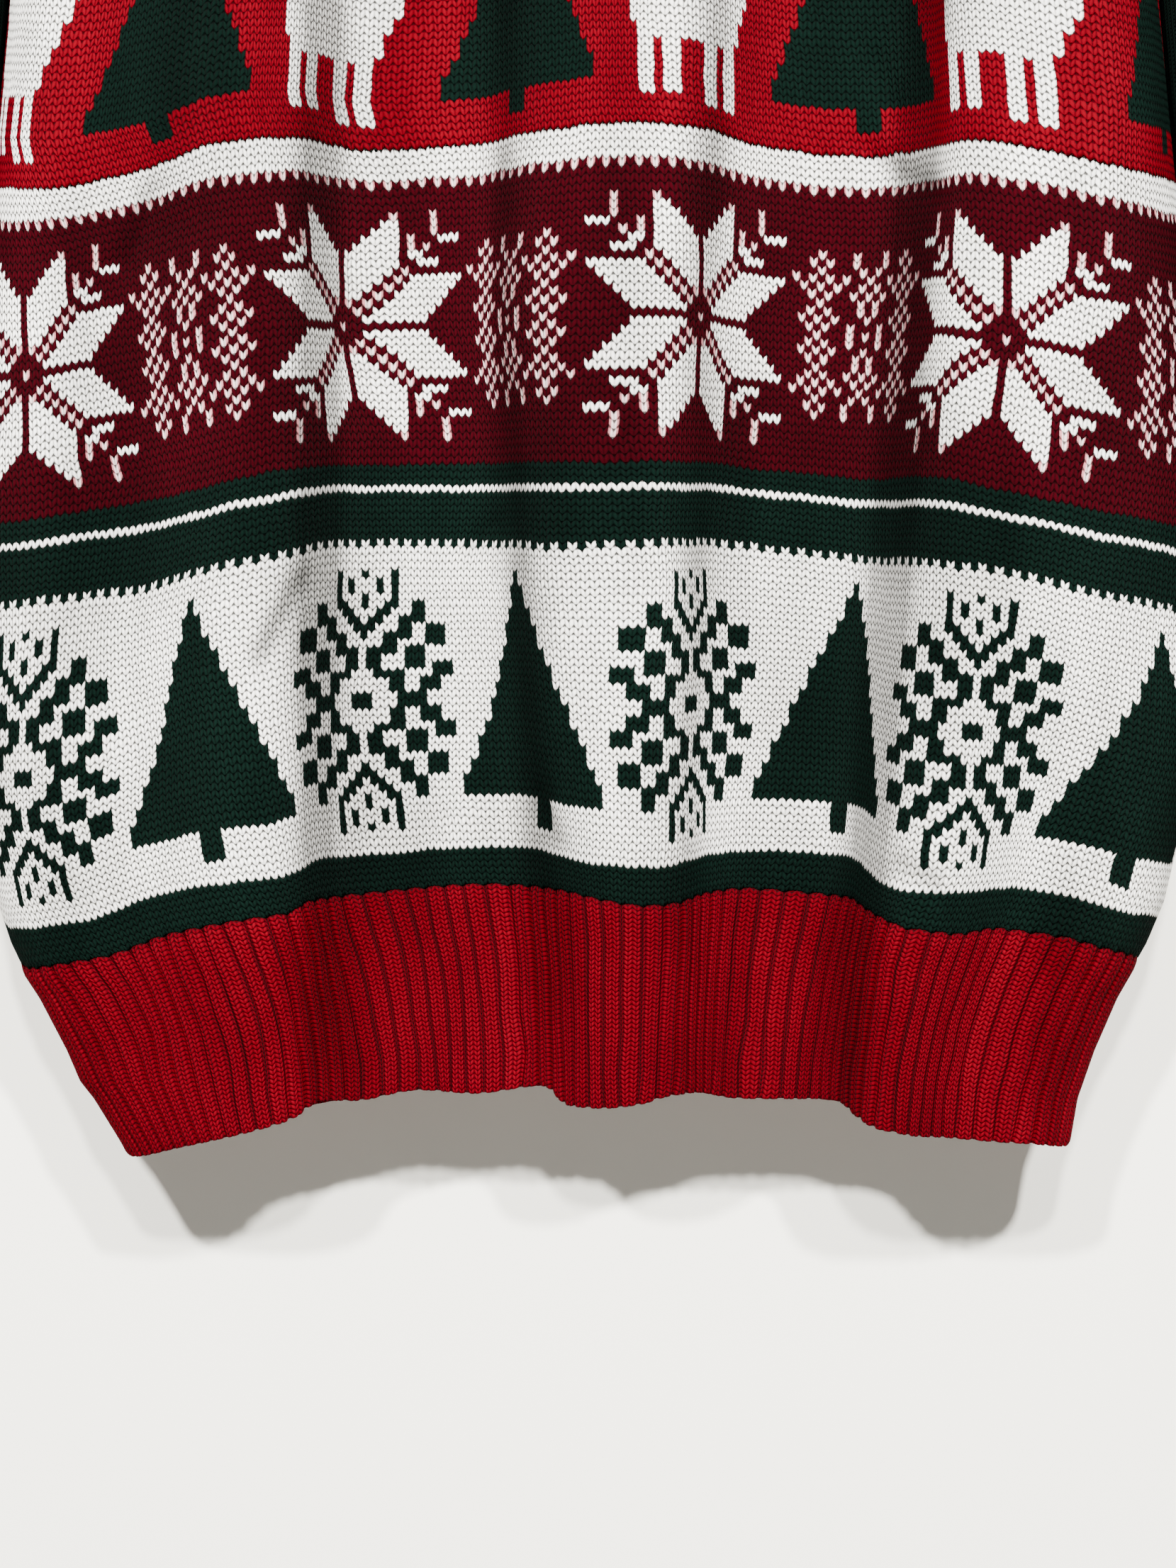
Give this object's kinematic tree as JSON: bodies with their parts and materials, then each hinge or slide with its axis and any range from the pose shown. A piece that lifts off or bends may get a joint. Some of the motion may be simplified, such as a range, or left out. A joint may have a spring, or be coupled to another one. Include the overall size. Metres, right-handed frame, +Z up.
{
  "type": "knitted christmas sweater on a clothes hanger, held by the hanger's hook",
  "caption": "Knitted jacquard pullover with ribbed hem, cuffs and neckband, hanging in soft upright folds on a plain clothes hanger.",
  "frame": {"origin": "under the crown of the hanger's hook, where a rod carries it", "axes": "+X to the right as seen from the front, +Y to the back, +Z up; the garment's front faces -Y"},
  "size_m": [0.592, 0.1154, 0.7974],
  "materials": {
    "front_panel": "soft jacquard knit",
    "back_panel": "soft jacquard knit",
    "hem_rib_front": "ribbed knit",
    "hem_rib_back": "ribbed knit",
    "sleeve_left": "soft plain knit",
    "sleeve_right": "soft plain knit",
    "cuff_left": "ribbed knit",
    "cuff_right": "ribbed knit",
    "neckband": "ribbed knit",
    "hanger_bar": "varnished",
    "hanger_hook": "drawn wire"
  },
  "bodies": {
    "root": {"front_panel": "front_panel", "back_panel": "back_panel", "hem_rib_front": "hem_rib_front", "hem_rib_back": "hem_rib_back", "sleeve_left": "sleeve_left", "sleeve_right": "sleeve_right", "cuff_left": "cuff_left", "cuff_right": "cuff_right", "neckband": "neckband", "hanger_bar": "hanger_bar", "hanger_hook": "hanger_hook"}
  },
  "joints": []
}
